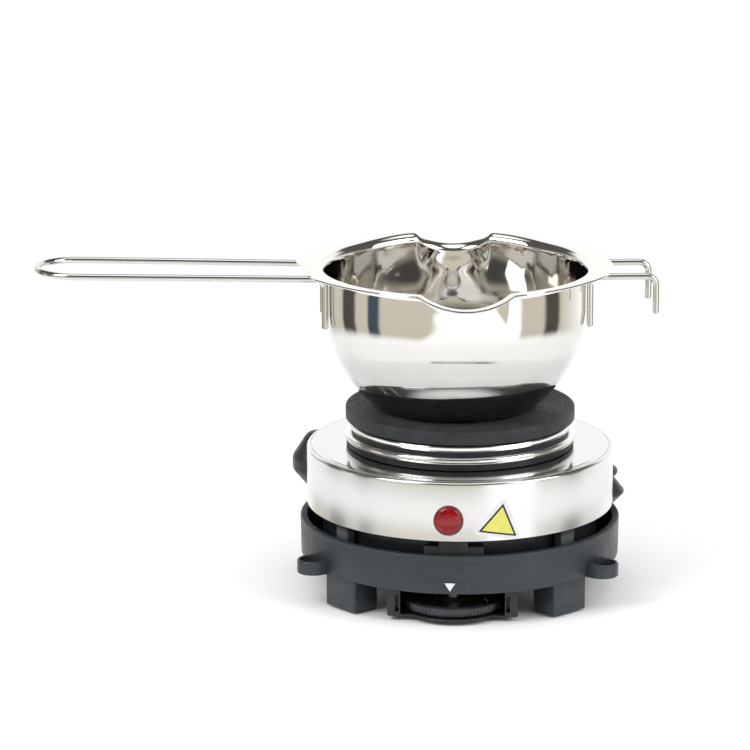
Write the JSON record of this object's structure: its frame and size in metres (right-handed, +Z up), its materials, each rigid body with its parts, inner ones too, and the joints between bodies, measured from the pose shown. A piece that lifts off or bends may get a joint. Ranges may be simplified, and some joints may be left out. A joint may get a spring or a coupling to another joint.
{
  "type": "candle melting pot",
  "caption": "Stainless double-spout melting pot with a wire loop handle and hooks, standing on a small round electric hot plate.",
  "frame": {"origin": "on the floor, under the middle of the object's bounding box", "axes": "+Z up; +X from the pot's handle tip towards its hooks; the stove's front, with the dial and the lamp, faces -Y"},
  "size_m": [0.2696, 0.1511, 0.1442],
  "materials": {
    "base_plastic": "moulded charcoal plastic with a fine grain",
    "black_plastic": "black moulded plastic",
    "grey_plastic": "light grey moulded plastic",
    "mirror_steel": "mirror-polished stainless steel",
    "drum_steel": "bright polished stainless sheet",
    "plain_steel": "zinc-plated steel",
    "cast_iron": "matt black coated cast iron with fine turned rings",
    "rubber": "soft rubber",
    "red_lens": "clear red plastic",
    "label": "plain yellow vinyl",
    "ceramic": "off-white ceramic",
    "wire_sleeve": "silicone-glass sleeve"
  },
  "bodies": {
    "root": {"base_pan": "base_plastic", "bottom_cover": "plain_steel", "cable_gland": "black_plastic", "centre_bolt": "plain_steel", "centre_nut": "plain_steel", "clamp_bar": "plain_steel", "collar_ring": "mirror_steel", "cover_screw_1": "plain_steel", "cover_screw_2": "plain_steel", "cover_screw_3": "plain_steel", "dial_guard": "black_plastic", "drum_shell": "drum_steel", "drum_support_1": "grey_plastic", "drum_support_2": "grey_plastic", "drum_support_3": "grey_plastic", "drum_support_4": "grey_plastic", "drum_support_5": "grey_plastic", "element_terminal": "ceramic", "foot_pad_front_left": "rubber", "foot_pad_front_right": "rubber", "foot_pad_rear_left": "rubber", "foot_pad_rear_right": "rubber", "gland_nut": "black_plastic", "guard_screw_left": "plain_steel", "guard_screw_right": "plain_steel", "heat_shield": "plain_steel", "heating_element": "plain_steel", "hot_plate": "cast_iron", "inner_skirt": "black_plastic", "insulation_disc": "ceramic", "lamp_bezel": "red_lens", "lamp_lens": "red_lens", "leg_front_left": "base_plastic", "leg_front_right": "base_plastic", "leg_rear_left": "base_plastic", "leg_rear_right": "base_plastic", "pilot_lamp": "ceramic", "plain_label": "label", "plate_trim_ring": "mirror_steel", "side_grip_left": "black_plastic", "side_grip_right": "black_plastic", "terminal_block": "ceramic", "thermostat": "ceramic", "wire_element": "wire_sleeve", "wire_lamp": "wire_sleeve", "wire_supply": "wire_sleeve", "wire_thermostat": "wire_sleeve"},
    "pot": {"pot_bowl": "mirror_steel", "pot_handle": "mirror_steel", "hook_front": "mirror_steel", "hook_rear": "mirror_steel"},
    "dial": {"thermostat_dial": "black_plastic", "dial_shaft": "plain_steel"}
  },
  "joints": [
    {"name": "pot_lift", "type": "slide", "parent": "root", "child": "pot", "axis": [0, 0, 1], "range_m": [0, 0.12]},
    {"name": "dial_turn", "type": "hinge", "parent": "root", "child": "dial", "pos_m": [0.04698, -0.05084, 0.0055], "axis": [0, 0, 1], "range_deg": [-40, 230]}
  ]
}
